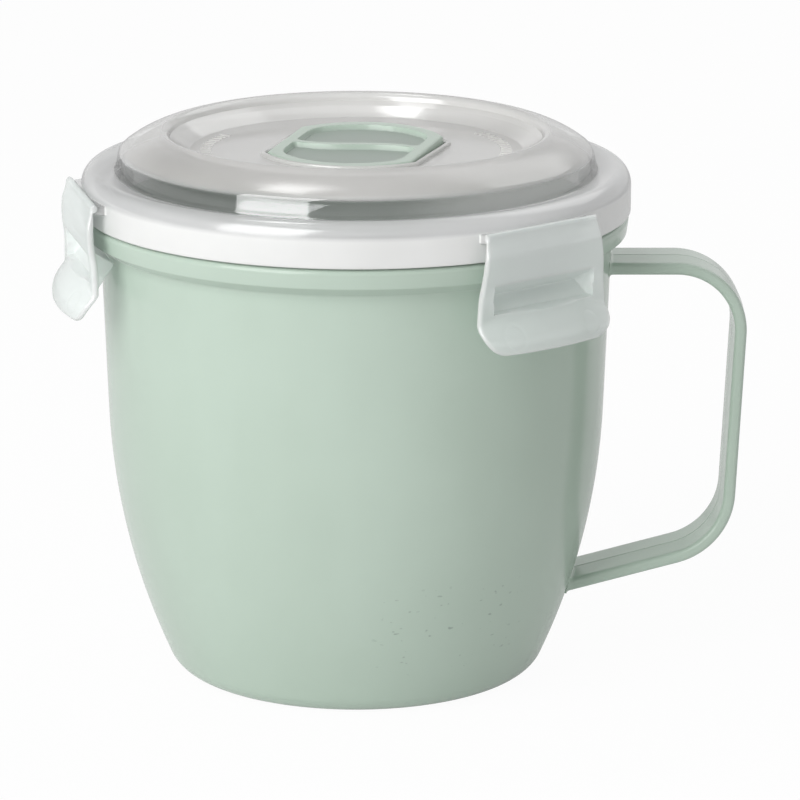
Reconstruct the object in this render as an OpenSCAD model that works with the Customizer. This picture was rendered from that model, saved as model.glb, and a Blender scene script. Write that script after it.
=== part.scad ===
// Soup mug with a clip lid: a moulded mug with a strap handle, a lid with a seal
// and three clips, and a rocking steam vent. The axis of the mug is Z, its base
// stands on z = 0 and the handle points along +X. All sizes in millimetres.

/* [Mug wall] */
// Height of the rim above the base
rim_z = 116.2; // [108:0.1:130]
// Outer radius of the wall where the belly starts to curve in
wall_r = 59.2; // [54:0.1:66]
// Height at which the belly starts to curve in
belly_z = 64.5; // [55:0.5:75]
// Draft of the straight wall above the belly, in degrees
wall_draft = 2.1; // [1:0.1:3]
// Radius of the belly's curve
belly_curve = 162.5; // [140:0.5:200]
// Rounding between the belly and the base
foot_round = 7; // [5.5:0.5:12]
// Thickness of the wall
wall_t = 2; // [1.4:0.1:2.6]
// Thickness of the floor
floor_t = 2.6; // [2.6:0.1:5]

/* [Rim bead] */
// Reach of the bead beyond the wall where the belly starts
bead_out = 5.6; // [5:0.1:6.8]
// How far the bead leans in from its shoulder to its lower edge
bead_lean = 0.6; // [0:0.1:1.2]
// Height of the bead
bead_h = 4.5; // [3.5:0.1:6]
// Drop from the rim to the bead's shoulder
bead_drop = 4.4; // [3.6:0.1:6]
// Rounding of the bead's shoulder
bead_round = 1.2; // [0.6:0.1:1.6]
// Slope of the bead's underside, in degrees
bead_slope = 34; // [30:1:42]

/* [Handle] */
// Width of the strap
strap_w = 18.2; // [12:0.2:24]
// Thickness of the strap at its edges
strap_edge_t = 2.8; // [2:0.1:4]
// Thickness of the strap at its middle ridge
strap_mid_t = 3.2; // [2.5:0.1:6]
// Drop from the rim to the upper run
grip_drop = 17.2; // [15.2:0.1:24.2]
// Reach of the strap beyond the wall where the belly starts
grip_out = 32.1; // [24.8:0.1:40.8]
// Lean of the grip run, in degrees
grip_lean = 2.75; // [0:0.25:6]
// Radius of the upper corner, at the middle of the strap
upper_bend = 15.3; // [9:0.1:18]
// Radius of the lower corner, at the middle of the strap
lower_bend = 17; // [10:0.5:22]
// Slope of the lower run, in degrees
lower_slope = 15.1; // [8:0.1:22]
// Height of the lower run where it is level with the wall
lower_root_z = 23.1; // [20:0.1:32]

/* [Lid shell] */
// Wall thickness of the lid
lid_t = 1.6; // [1.2:0.1:2]
// Reach of the skirt beyond the bead
skirt_over = 0.3; // [0.2:0.1:1.2]
// Chamfer of the skirt's lower edge
skirt_chamfer = 0.6; // [0.3:0.1:1]
// Gap between the skirt's lower edge and the bead
skirt_gap = 0.3; // [0.2:0.1:0.6]
// Height of the flange's crest above the seal channel
flange_h = 4; // [3.4:0.1:5]
// Width of the flange's rounded edge
flange_round_w = 3.3; // [2:0.1:4]
// Height of the flange's rounded edge
flange_round_h = 4; // [2:0.1:4.5]
// Height of the dome's base above the seal channel
dome_rise = 3; // [2.4:0.1:3.6]
// Distance of the dome's foot in from the skirt
shoulder_in = 7.9; // [7:0.1:9]
// Width of the dome's rounded shoulder
shoulder_w = 13; // [11.5:0.1:14]
// Height of the dome's crest above the seal channel
lid_rise = 12.6; // [11.5:0.1:14]
// Rounding of the crest
crest_round = 2; // [1.6:0.1:2.4]
// Distance of the crest's rounding in from the dome's foot
crest_in = 11.2; // [10:0.1:12]
// Depth of the centre panel below the crest
panel_depth = 5.2; // [4.4:0.1:6]
// Distance of the flat centre panel's edge in from the crest's rounding
panel_in = 6.4; // [5.5:0.1:10]
// Height of the step on the panel's surrounding wall
panel_step = 2.2; // [1.6:0.1:2.8]
// Width of the sloping wall between the panel and the step
panel_slope_w = 3.3; // [2.6:0.1:3.6]
// Gap between the mug's wall and the lid's plug wall
plug_gap = 0.7; // [0.4:0.1:1]
// Thickness of the plug wall
plug_t = 1.4; // [1:0.1:1.8]
// Reach of the plug wall below the rim
plug_drop = 3.2; // [2:0.1:6]
// Gap between the mug's lip and the skirt
lip_gap = 1.5; // [1:0.1:1.6]
// Direction in which the lid is turned on the mug, in degrees
lid_turn = 71.4; // [0:0.1:119]

/* [Lid seal] */
// Thickness of the seal
seal_h = 2.4; // [1.8:0.1:3]
// Gap on each side of the seal in its channel
seal_gap = 0.3; // [0.15:0.05:0.4]
// Chamfer of the seal's edges
seal_chamfer = 0.4; // [0.2:0.1:0.6]

/* [Clips] */
// Angle from the back clip to each of the other two, in degrees
clip_angle = 121.9; // [105:0.1:135]
// Length of the hinge line
hinge_w = 33.4; // [26:0.1:38]
// Reach of the hinge line beyond the skirt
hinge_out = 0.9; // [0.6:0.1:1.4]
// Radius of the hinge bead
hinge_r = 0.9; // [0.7:0.05:1.1]
// Running clearance round the hinge bead
hinge_clear = 0.08; // [0.04:0.01:0.1]
// How far the lug's face stands behind the hinge line
lug_back = 0.15; // [0.1:0.05:0.3]
// Thickness of the lug below the hinge line
lug_below = 1.8; // [1.3:0.1:2.4]
// Thickness of the lug above the hinge line
lug_above = 0.4; // [0.2:0.05:0.45]
// Reach of the lug past each end of the hinge line
lug_end = 0.8; // [0.4:0.1:1.5]
// Height of the hinge line above the skirt's lower edge
hinge_rise = 6.4; // [5.6:0.1:7]
// Height of a clip from its hinge line to its lower edge
clip_h = 26.8; // [24:0.1:32]
// Width of a clip at its lower edge
clip_low_w = 38.6; // [36:0.2:46]
// Thickness of a clip
clip_t = 1.6; // [1.2:0.1:1.7]
// Reach of a clip's outer face beyond the hinge line
clip_out = 1.9; // [1.9:0.1:2.6]
// Drop from the hinge line to the end of a clip's thin neck
neck_drop = 5; // [2.5:0.1:5]
// Gap between a clip's neck and the hinge line's plane
neck_gap = 0.2; // [0.1:0.05:0.3]
// Drop from the hinge line to where a clip starts to draw in
face_drop = 7; // [5:0.5:9]
// How far a clip's waist is drawn in from its outer face
clip_waist_in = 0.8; // [0:0.1:0.9]
// Drop from the hinge line to the waist
clip_waist_drop = 15; // [13.5:0.5:17]
// How far the round thumb lip flares out from the waist
clip_flare = 5.2; // [3:0.1:6]
// Height of the thumb lip above the lower edge
clip_lip_h = 1.6; // [1:0.1:4]
// Rounding of a clip's lower corners
clip_corner = 6; // [3:0.5:9]
// Width of the hook where it meets the clip
hook_w = 32; // [20:0.5:33]
// How much each end of the hook draws in towards its tip
hook_taper = 3; // [0:0.1:5]
// Gap between the hook and the bead and wall of the mug
hook_gap = 0.4; // [0.3:0.05:0.6]
// Height of the hook where it meets the clip
hook_h = 8.8; // [7:0.1:9.5]
// Blunt height of the hook's tip
hook_tip_h = 0.5; // [0.3:0.1:0.8]
// Wall thickness left round the hook's hollow
hook_t = 1.3; // [0.9:0.1:1.4]

/* [Steam vent] */
// Length of the vent flap between its curved ends
vent_l = 42.2; // [38:0.2:46]
// Width of the vent flap between its straight sides
vent_w = 35.7; // [30:0.1:37]
// Radius of the vent flap's curved ends
vent_end_r = 22; // [21:0.5:30]
// Thickness of the vent flap
vent_t = 4.9; // [4.5:0.1:5.3]
// How far the closed vent flap stands proud of the panel
vent_proud = 1.6; // [1.2:0.1:1.9]
// Width of the vent flap's rim
vent_rim = 2.8; // [2:0.1:4]
// Depth of the finger recesses
vent_recess = 1.5; // [0.8:0.1:1.8]
// Width of the web between the finger recesses
web_w = 1.9; // [1.2:0.1:3]
// Bow of the web to each side
web_bow = 1.5; // [0:0.1:3]
// Angle by which the vent flap opens, in degrees
vent_open = 6; // [3:0.5:6.5]
// Angle by which the vent flap stands open as it is drawn, in degrees
vent_rest = 3; // [0:0.5:3]
// Gap round the vent flap in its pocket
vent_gap = 0.6; // [0.5:0.05:1]
// Height of the raised lip round the vent's pocket
coaming_h = 0.8; // [0.3:0.1:0.9]
// Width of the raised lip round the vent's pocket
coaming_w = 1.1; // [0.6:0.1:1.5]
// Clearance under the open vent flap
vent_under = 0.4; // [0.2:0.1:0.8]
// Radius of the vent's stub pins
pin_r = 1.2; // [0.9:0.05:1.3]
// Reach of a stub pin into the pocket's wall
pin_reach = 1.1; // [0.8:0.1:1.3]
// Running clearance round a stub pin
pin_clear = 0.06; // [0.03:0.01:0.1]
// Depth of the pins' axis below the panel
pin_depth = 1.9; // [1.7:0.1:2.1]
// Radius of the steam hole
steam_r = 2.5; // [1.5:0.1:3]
// Distance of the steam hole from the vent's middle
steam_at = 10; // [7:0.5:12]
// Width of the raised seat round the steam hole
seat_w = 1.5; // [1:0.1:2]
// Height of the raised seat round the steam hole
seat_h = 0.8; // [0.4:0.1:1.2]
// Overlap of the vent seal past the steam hole
vent_seal_lap = 2; // [1:0.1:3]
// Gap left under the vent seal when it is closed
vent_seal_gap = 0.1; // [0.05:0.05:0.2]
// Radius of the vent seal's stem
stem_r = 1.5; // [1:0.1:2]
// Length of the vent seal's stem
stem_l = 1.4; // [0.8:0.1:1.6]
// Clearance round the vent seal's stem
stem_clear = 0.05; // [0.03:0.01:0.1]

/* [Hidden] */
$fn = 96;
// Overlap by which a cutting shape passes the face that it cuts
over = 1;
// Points along an arc of an outline
arc_n = 10;
sage = "#b5cbbd";
frosted = "#dfe4e2";
silicone = "#eef0ef";
// Angles at which the crest's rounding starts and ends
crest_from = 165;
crest_to = 75;

// Wall of the mug
belly_x = wall_r - belly_curve * cos(wall_draft);
belly_c = belly_z + belly_curve * sin(wall_draft);
foot_a = asin((belly_c - foot_round) / (belly_curve - foot_round));
foot_x = belly_x + (belly_curve - foot_round) * cos(foot_a);
floor_a = asin((floor_t - foot_round) / (foot_round - wall_t));
rim_r = wall_at(rim_z);

// Bead under the rim
bead_r = wall_r + bead_out;
bead_top_z = rim_z - bead_drop;
bead_low_z = bead_top_z - bead_h;
bead_low_r = bead_r - bead_lean;
bead_root_z = bead_low_z - (bead_low_r - wall_at(bead_low_z)) * tan(bead_slope);

// Path of the strap in the XZ plane
grip_reach = wall_r + grip_out;
grip_top_z = rim_z - grip_drop;
upper_x = grip_reach - upper_bend;
upper_z = grip_top_z - upper_bend;
grip_dir = [-sin(grip_lean), -cos(grip_lean)];
grip_start = [upper_x, upper_z] + upper_bend * [cos(grip_lean), -sin(grip_lean)];
lower_dir = [-cos(lower_slope), -sin(lower_slope)];
lower_root = [wall_r, lower_root_z];
lower_c = meet(grip_start + lower_bend * inward(grip_dir), grip_dir,
    lower_root + lower_bend * inward(lower_dir), lower_dir);
lower_start = lower_c - lower_bend * inward(lower_dir);
lower_end = lower_start + lower_dir * (lower_start[0] - foot_x) / cos(lower_slope);
// Rings of the strap: each has its middle and the direction of its outer face
strap_path = concat([[[wall_r - wall_t, grip_top_z], 90]],
    bend([upper_x, upper_z], upper_bend, 90, -grip_lean),
    bend(lower_c, lower_bend, -grip_lean, lower_slope - 90),
    [[lower_end, lower_slope - 90]]);
// Section of the strap: thickness, then width
strap_ring = [for (side = [-1, 1], k = [-1 : 1])
    [side * (k == 0 ? strap_mid_t : strap_edge_t) / 2, side * k * strap_w / 2]];

// Lid
skirt_r = bead_r + skirt_over;
shoulder_r = skirt_r - shoulder_in;
crest_r = shoulder_r - crest_in;
panel_r = crest_r - panel_in;
roof_z = rim_z + seal_h;
skirt_low_z = bead_top_z + skirt_gap;
channel_r = rim_r + lip_gap;
plug_r = rim_r - wall_t - plug_gap;
plug_low_z = rim_z - plug_drop;
dome_z = roof_z + dome_rise;
flange_z = roof_z + flange_h;
top_z = roof_z + lid_rise;
shoulder_x = shoulder_r - shoulder_w;
shoulder_h = top_z - dome_z;
crest_z = top_z - crest_round;
crest_a = acos((crest_r + crest_round / 2 - shoulder_x) / shoulder_w);
panel_z = top_z - panel_depth;
step_r = panel_r + panel_slope_w;
step_z = panel_z + panel_step;

// Clips
hinge_d = skirt_r + hinge_out;
hinge_z = skirt_low_z + hinge_rise;
clip_low_z = hinge_z - clip_h;
waist_z = hinge_z - clip_waist_drop;
lip_z = clip_low_z + clip_lip_h;
face_d = hinge_d + clip_out;
waist_d = face_d - clip_waist_in;
lip_d = waist_d + clip_flare;
hook_rise = tan(bead_slope);
hook_top_z = bead_low_z - hook_gap / cos(bead_slope);
hook_tip_r = wall_at(bead_root_z) + hook_gap;
hook_tip_z = hook_top(hook_tip_r);
hook_root_d = waist_d - clip_t;
hook_low_z = hook_top(hook_root_d) - hook_h;
hook_fall = (hook_tip_z - hook_tip_h - hook_low_z) / (hook_root_d - hook_tip_r);
clip_turns = [lid_turn - clip_angle, lid_turn, lid_turn + clip_angle];

// Vent
vent_top_z = panel_z + vent_proud;
vent_low_z = vent_top_z - vent_t;
pin_z = panel_z - pin_depth;
pocket_z = pin_z - (pin_z - vent_low_z) * cos(vent_open)
    - vent_l / 2 * sin(vent_open) - vent_under;
tub_z = pocket_z - lid_t;
seat_z = pocket_z + seat_h;

// Outer radius of the mug's wall at a height above the foot
function wall_at(z) = z >= belly_z ? wall_r + (z - belly_z) * tan(wall_draft)
    : belly_x + sqrt(belly_curve * belly_curve - (belly_c - z) * (belly_c - z));

// Points of an arc round a centre, with one radius or two
function arc(c, r, a0, a1, n = arc_n) = [for (i = [0 : n])
    let (a = a0 + (a1 - a0) * i / n) c + [r[0] * cos(a), r[1] * sin(a)]];

// Rings of a strap round a corner
function bend(c, r, a0, a1, n = 2 * arc_n) = [for (i = [0 : n])
    let (a = a0 + (a1 - a0) * i / n) [c + r * [cos(a), sin(a)], a]];

// Side of a strap's run that faces the hand
function inward(d) = [d[1], -d[0]];

// Point where two lines meet, each given by a point and a direction
function meet(p, d, q, e) = p + d * (cross(q - p, e) / cross(d, e));

// Smooth step from 0 to 1
function ease(t) = (1 - cos(180 * max(0, min(1, t)))) / 2;

// Height of the hook's upper face at a radius
function hook_top(r) = hook_top_z + (r - bead_low_r) * hook_rise;

// Height of the hook's lower face at a radius
function hook_low(r) = hook_tip_z - hook_tip_h - (r - hook_tip_r) * hook_fall;

// Distance of a clip's flat outer face from the axis at a height
function clip_face(z) = z > hinge_z - face_drop
    ? hinge_d + hinge_r + (clip_out - hinge_r) * ease((hinge_z - z) / neck_drop)
    : face_d - clip_waist_in * ease((hinge_z - face_drop - z) / (clip_waist_drop - face_drop));

// Distance of a clip's flat face from the axis at a depth below the outer one
function clip_at(z, depth) = depth == 0 ? clip_face(z)
    : z > hinge_z - hinge_r ? hinge_d
    : z > hinge_z - neck_drop ? max(hinge_d + neck_gap, clip_face(z) - depth)
    : clip_face(z) - depth;

// Radius of the round thumb lip's outer face at a height
function lip_face(z) = waist_d + clip_flare * ease((waist_z - z) / (waist_z - lip_z));

// Half width of a clip at a height
function clip_half(z) = hinge_w / 2
    + (clip_low_w - hinge_w) / 2 * sin(90 * max(0, min(1, (hinge_z - z) / (hinge_z - lip_z))));

// Outline of the mug's outer wall with its bead and lip
module mug_outline()
    polygon(concat([[0, 0]],
        arc([foot_x, foot_round], [foot_round, foot_round], -90, -foot_a),
        arc([belly_x, belly_c], [belly_curve, belly_curve], -foot_a, -wall_draft, 2 * arc_n),
        [[wall_at(bead_root_z), bead_root_z], [bead_low_r, bead_low_z]],
        arc([bead_r - bead_round, bead_top_z - bead_round], [bead_round, bead_round], 0, 90),
        [[wall_at(bead_top_z), bead_top_z], [rim_r, rim_z], [0, rim_z]]));

// Outline of the space inside the mug
module cup_outline()
    polygon(concat([[0, floor_t]],
        arc([foot_x, foot_round], [foot_round - wall_t, foot_round - wall_t], floor_a, -foot_a),
        arc([belly_x, belly_c], [belly_curve - wall_t, belly_curve - wall_t],
            -foot_a, -wall_draft, 2 * arc_n),
        [[rim_r - wall_t, rim_z], [rim_r - wall_t, rim_z + over], [0, rim_z + over]]));

// Strap of the handle: one skin round the rings of its path
module strap()
    let (sides = len(strap_ring), rings = len(strap_path), last = sides * (rings - 1))
        polyhedron(
            points = [for (s = strap_path, p = strap_ring)
                [s[0][0] + p[0] * cos(s[1]), p[1], s[0][1] + p[0] * sin(s[1])]],
            faces = concat(
                [for (i = [1 : sides - 2]) [0, i + 1, i]],
                [for (i = [1 : sides - 2]) [last, last + i, last + i + 1]],
                [for (k = [0 : rings - 2], i = [0 : sides - 1])
                    [k * sides + i, k * sides + (i + 1) % sides, (k + 1) * sides + i]],
                [for (k = [0 : rings - 2], i = [0 : sides - 1])
                    [k * sides + (i + 1) % sides, (k + 1) * sides + (i + 1) % sides,
                        (k + 1) * sides + i]]));

module mug_body()
    color(sage)
        difference() {
            union() {
                rotate_extrude()
                    mug_outline();
                strap();
            }
            rotate_extrude()
                cup_outline();
        }

// Outline of the lid from the axis over the dome to the skirt and back underneath
module lid_outline()
    polygon(concat([[0, panel_z], [panel_r, panel_z], [step_r, step_z]],
        arc([crest_r, crest_z], [crest_round, crest_round], crest_from, crest_to),
        arc([shoulder_x, dome_z], [shoulder_w, shoulder_h], crest_a, 0, 2 * arc_n),
        arc([skirt_r - flange_round_w, flange_z - flange_round_h], [flange_round_w, flange_round_h], 90, 0),
        [[skirt_r, skirt_low_z + skirt_chamfer], [skirt_r - skirt_chamfer, skirt_low_z],
            [channel_r + skirt_chamfer, skirt_low_z], [channel_r, skirt_low_z + skirt_chamfer],
            [channel_r, roof_z], [plug_r, roof_z], [plug_r, plug_low_z],
            [plug_r - plug_t, plug_low_z], [plug_r - plug_t, roof_z + lid_t / 2]],
        arc([shoulder_x, dome_z], [shoulder_w - lid_t, shoulder_h - lid_t], 0, crest_a, 2 * arc_n),
        [[step_r + lid_t, step_z - lid_t / 2], [panel_r + lid_t / 2, panel_z - lid_t],
            [0, panel_z - lid_t]]));

// Outline of the vent flap, grown all round
module vent_outline(grow = 0)
    intersection() {
        square([vent_l + 2 * grow, vent_w + 2 * grow], center = true);
        translate([vent_l / 2 - vent_end_r, 0])
            circle(r = vent_end_r + grow);
        translate([vent_end_r - vent_l / 2, 0])
            circle(r = vent_end_r + grow);
    }

// Straight lug of the flange that carries a clip's hinge line
module lug()
    translate([plug_r, -hinge_w / 2 - lug_end, hinge_z - lug_below])
        cube([hinge_d - lug_back - plug_r, hinge_w + 2 * lug_end, lug_below + lug_above]);

// Ring of free space for the mug's lip and the seal
module channel()
    rotate_extrude()
        translate([plug_r, skirt_low_z - over])
            square([channel_r - plug_r, roof_z - skirt_low_z + over]);

module lid_shell()
    color(frosted)
        difference() {
            union() {
                rotate_extrude()
                    lid_outline();
                for (turn = clip_turns)
                    rotate([0, 0, turn])
                        lug();
                rotate([0, 0, lid_turn])
                    translate([0, 0, tub_z])
                        linear_extrude(panel_z - lid_t / 2 - tub_z)
                            vent_outline(vent_gap + lid_t);
                rotate([0, 0, lid_turn])
                    translate([0, 0, panel_z - lid_t / 2])
                        linear_extrude(lid_t / 2 + coaming_h)
                            vent_outline(vent_gap + coaming_w);
            }
            channel();
            for (turn = clip_turns)
                rotate([0, 0, turn])
                    translate([hinge_d, 0, hinge_z])
                        rotate([90, 0, 0])
                            cylinder(h = hinge_w + 2 * (lug_end + over), r = hinge_r + hinge_clear,
                                center = true);
            rotate([0, 0, lid_turn]) {
                difference() {
                    translate([0, 0, pocket_z])
                        linear_extrude(panel_z + coaming_h - pocket_z + over)
                            vent_outline(vent_gap);
                    translate([steam_at, 0, pocket_z])
                        cylinder(h = seat_h, r = steam_r + seat_w);
                }
                translate([steam_at, 0, tub_z - over])
                    cylinder(h = seat_z - tub_z + 2 * over, r = steam_r);
                translate([0, 0, pin_z])
                    rotate([90, 0, 0])
                        cylinder(h = vent_w + 2 * (pin_reach + vent_gap), r = pin_r + pin_clear,
                            center = true);
            }
        }

module lid_seal()
    color(silicone)
        rotate_extrude()
            polygon([[plug_r + seal_gap, roof_z], [plug_r + seal_gap, rim_z + seal_chamfer],
                [plug_r + seal_gap + seal_chamfer, rim_z], [channel_r - seal_gap - seal_chamfer, rim_z],
                [channel_r - seal_gap, rim_z + seal_chamfer], [channel_r - seal_gap, roof_z]]);

// Space behind a clip's outer face, or behind a face at a depth below it: flat from the
// hinge down, and round the mug's axis at the thumb lip
module clip_inside(depth)
    let (n = 4 * arc_n, low_z = clip_low_z - over, high_z = depth == 0 ? hinge_z : hinge_z + over,
        flat = [for (i = [0 : n]) high_z + (low_z - high_z) * i / n],
        round = [for (i = [0 : n]) waist_z + (low_z - waist_z) * i / n]) {
        rotate([90, 0, 0])
            linear_extrude(clip_low_w + 2 * over, center = true)
                polygon(concat([for (z = flat) [clip_at(z, depth), z]], [[0, low_z], [0, high_z]]));
        rotate_extrude()
            polygon(concat([for (z = round) [lip_face(z) - depth, z]], [[0, low_z], [0, waist_z]]));
    }

// Front outline of a clip: width along X, height along Y
module clip_outline()
    let (n = 2 * arc_n, low = clip_low_z + clip_corner, half = clip_low_w / 2 - clip_corner,
        heights = [for (i = [0 : n]) hinge_z + hinge_r + (low - hinge_z - hinge_r) * i / n])
        polygon(concat([for (z = heights) [clip_half(z), z]],
            arc([half, low], [clip_corner, clip_corner], 0, -90),
            arc([-half, low], [clip_corner, clip_corner], -90, -180),
            [for (i = [n : -1 : 0]) [-clip_half(heights[i]), heights[i]]]));

// One clip in its own direction along X, shut against the mug
module clip(turn)
    color(frosted)
        rotate([0, 0, turn])
            difference() {
                union() {
                    intersection() {
                        difference() {
                            clip_inside(0);
                            clip_inside(clip_t);
                        }
                        translate([hinge_d - clip_t, 0, 0])
                            rotate([90, 0, 90])
                                linear_extrude(2 * clip_t + clip_out + clip_flare)
                                    clip_outline();
                    }
                    translate([hinge_d, 0, hinge_z])
                        rotate([90, 0, 0])
                            cylinder(h = hinge_w, r = hinge_r, center = true);
                    intersection() {
                        hook(hook_w / 2)
                            hook_section();
                        clip_inside(clip_t / 2);
                    }
                }
                hook(hook_w / 2 - hook_t)
                    hook_hollow();
            }

// Wedge under the bead: a section along the clip, drawn in at both ends
module hook(half)
    intersection() {
        rotate([90, 0, 0])
            linear_extrude(hook_w, center = true)
                children();
        translate([0, 0, clip_low_z])
            linear_extrude(clip_h)
                polygon([[hook_tip_r - over, hook_taper - half], [hook_root_d, -half],
                    [lip_d + over, -half], [lip_d + over, half],
                    [hook_root_d, half], [hook_tip_r - over, half - hook_taper]]);
    }

// Section of the hook: distance from the axis along X, height along Y
module hook_section()
    polygon([[hook_tip_r, hook_tip_z], [lip_d, hook_top(lip_d)], [lip_d, hook_low_z],
        [hook_root_d, hook_low_z], [hook_tip_r, hook_tip_z - hook_tip_h]]);

// Section of the hollow behind the hook, open to the clip's outer face
module hook_hollow()
    let (drop = hook_t / cos(bead_slope), lift = hook_t / cos(atan(hook_fall)),
        wide = lip_d + over,
        tip = (hook_low(0) + lift - hook_top(0) + drop) / (hook_rise + hook_fall))
        polygon([[tip, hook_top(tip) - drop], [wide, hook_top(wide) - drop],
            [wide, hook_low_z + lift], [hook_root_d, hook_low_z + lift]]);

module clip_front()
    clip(clip_turns[0]);

module clip_back()
    clip(clip_turns[1]);

module clip_left()
    clip(clip_turns[2]);

// Stands the vent's own pieces in the lid at the flap's angle
module in_vent()
    rotate([0, 0, lid_turn])
        translate([0, 0, pin_z])
            rotate([0, -vent_rest, 0])
                translate([0, 0, -pin_z])
                    children();

// Curved web between the finger recesses
module web()
    let (n = 2 * arc_n, half = vent_w / 2,
        path = [for (i = [0 : n]) let (v = half * (2 * i / n - 1)) [-web_bow * sin(180 * v / half), v]])
        polygon(concat([for (p = path) p + [web_w / 2, 0]],
            [for (i = [n : -1 : 0]) path[i] - [web_w / 2, 0]]));

module vent_flap()
    color(sage)
        in_vent()
            difference() {
                union() {
                    translate([0, 0, vent_low_z])
                        linear_extrude(vent_t)
                            vent_outline();
                    translate([0, 0, pin_z])
                        rotate([90, 0, 0])
                            cylinder(h = vent_w + 2 * pin_reach, r = pin_r, center = true);
                }
                translate([0, 0, vent_top_z - vent_recess])
                    linear_extrude(vent_recess + over)
                        difference() {
                            vent_outline(-vent_rim);
                            web();
                        }
                translate([steam_at, 0, vent_low_z - over])
                    cylinder(h = stem_l + stem_clear + over, r = stem_r + stem_clear);
            }

module vent_seal()
    color(silicone)
        in_vent() {
            translate([steam_at, 0, seat_z + vent_seal_gap])
                cylinder(h = vent_low_z - seat_z - vent_seal_gap, r = steam_r + vent_seal_lap);
            translate([steam_at, 0, seat_z + vent_seal_gap])
                cylinder(h = vent_low_z - seat_z - vent_seal_gap + stem_l, r = stem_r);
        }

mug_body();
lid_shell();
lid_seal();
clip_front();
clip_back();
clip_left();
vent_flap();
vent_seal();
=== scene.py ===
import math

import bmesh
import bpy
from mathutils import Matrix, Vector


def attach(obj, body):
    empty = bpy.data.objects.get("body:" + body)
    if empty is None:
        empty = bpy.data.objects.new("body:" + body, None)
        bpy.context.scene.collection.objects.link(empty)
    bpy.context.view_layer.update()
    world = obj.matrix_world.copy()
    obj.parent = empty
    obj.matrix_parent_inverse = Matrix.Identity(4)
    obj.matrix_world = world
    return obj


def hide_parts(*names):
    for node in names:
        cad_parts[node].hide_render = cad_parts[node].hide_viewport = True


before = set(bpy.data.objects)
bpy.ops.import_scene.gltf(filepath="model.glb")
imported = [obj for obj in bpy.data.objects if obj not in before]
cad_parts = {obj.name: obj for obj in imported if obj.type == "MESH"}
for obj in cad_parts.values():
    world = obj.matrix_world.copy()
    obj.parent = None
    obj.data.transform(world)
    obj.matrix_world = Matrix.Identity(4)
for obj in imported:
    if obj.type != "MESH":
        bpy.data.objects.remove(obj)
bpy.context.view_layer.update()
scene = bpy.context.scene
scene.view_settings.view_transform = "Standard"
mm = 0.001  # every size below is in millimetres
print("frame loaded:", ", ".join(sorted(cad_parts)))


# camera at the height and angle of the photo
cameraSizes = {"back": 1084, "height": 352, "pitch": 14.84, "lens": 210.3, "sensor": 36, "shift": 0.0549,
               "far": 20000}


def makeCamera(c):
    data = bpy.data.cameras.new("camera")
    data.lens = c["lens"]
    data.sensor_width = c["sensor"]
    data.shift_x = c["shift"]
    data.clip_end = c["far"] * mm
    camera = bpy.data.objects.new("camera", data)
    camera.location = (0, -c["back"] * mm, c["height"] * mm)
    camera.rotation_euler = (math.radians(90 - c["pitch"]), 0, 0)
    scene.collection.objects.link(camera)
    scene.camera = camera


makeCamera(cameraSizes)


# one socket of a node tree, that can stand in a Python sum
class Wire:
    def __init__(self, tree, socket=None):
        self.tree = tree
        self.socket = socket

    def make(self, kind, settings=None, sockets=None, out=0):
        node = self.tree.nodes.new(kind)
        for key, value in (settings or {}).items():
            setattr(node, key, value)
        for key, value in (sockets or {}).items():
            if isinstance(value, Wire):
                self.tree.links.new(value.socket, node.inputs[key])
            else:
                node.inputs[key].default_value = value
        return Wire(self.tree, node.outputs[out] if len(node.outputs) else None)

    def maths(self, operation, *values):
        return self.make("ShaderNodeMath", {"operation": operation}, dict(enumerate(values)))

    def parts(self):
        # X, Y and Z of a vector
        return [self.make("ShaderNodeSeparateXYZ", None, {0: self}, k) for k in range(3)]

    def __add__(self, other):
        return self.maths("ADD", self, other)

    def __sub__(self, other):
        return self.maths("SUBTRACT", self, other)

    def __rsub__(self, other):
        return self.maths("SUBTRACT", other, self)

    def __mul__(self, other):
        return self.maths("MULTIPLY", self, other)

    def __truediv__(self, other):
        return self.maths("DIVIDE", self, other)

    def __rtruediv__(self, other):
        return self.maths("DIVIDE", other, self)

    def __pow__(self, other):
        return self.maths("POWER", self, other)

    __radd__, __rmul__ = __add__, __mul__


def newMaterial(name):
    # material, its node tree and the object coordinates in it
    material = bpy.data.materials.new(name)
    material.use_nodes = True
    material.node_tree.nodes.clear()
    w = Wire(material.node_tree)
    return material, w, w.make("ShaderNodeTexCoord", None, None, "Object")


def ramped(w, value, low, high, start=0.0, end=1.0):
    # smooth step of a value between two places
    return w.make("ShaderNodeMapRange", {"interpolation_type": "SMOOTHSTEP"},
                  {"Value": value, "From Min": low, "From Max": high, "To Min": start, "To Max": end})


def zoned(w, value, places, start=0.0, end=1.0):
    # the same between two places given in millimetres
    return ramped(w, value, places[0] * mm, places[1] * mm, start, end)


def blended(w, factor, first, second):
    # colour between two colours, as sockets or as numbers
    return w.make("ShaderNodeMix", {"data_type": "RGBA"}, {0: factor, 6: first, 7: second}, 2)


def noise(w, place, scale, detail=3, roughness=0.55, stretch=None):
    if stretch:
        place = w.make("ShaderNodeMapping", None, {"Vector": place, "Scale": stretch})
    return w.make("ShaderNodeTexNoise", None,
                  {"Vector": place, "Scale": scale, "Detail": detail, "Roughness": roughness})


def bumped(w, strength, depth, height):
    return w.make("ShaderNodeBump", None, {"Strength": strength, "Distance": depth * mm, "Height": height})


def finished(w, shader):
    w.make("ShaderNodeOutputMaterial", None, {"Surface": shader})


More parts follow.
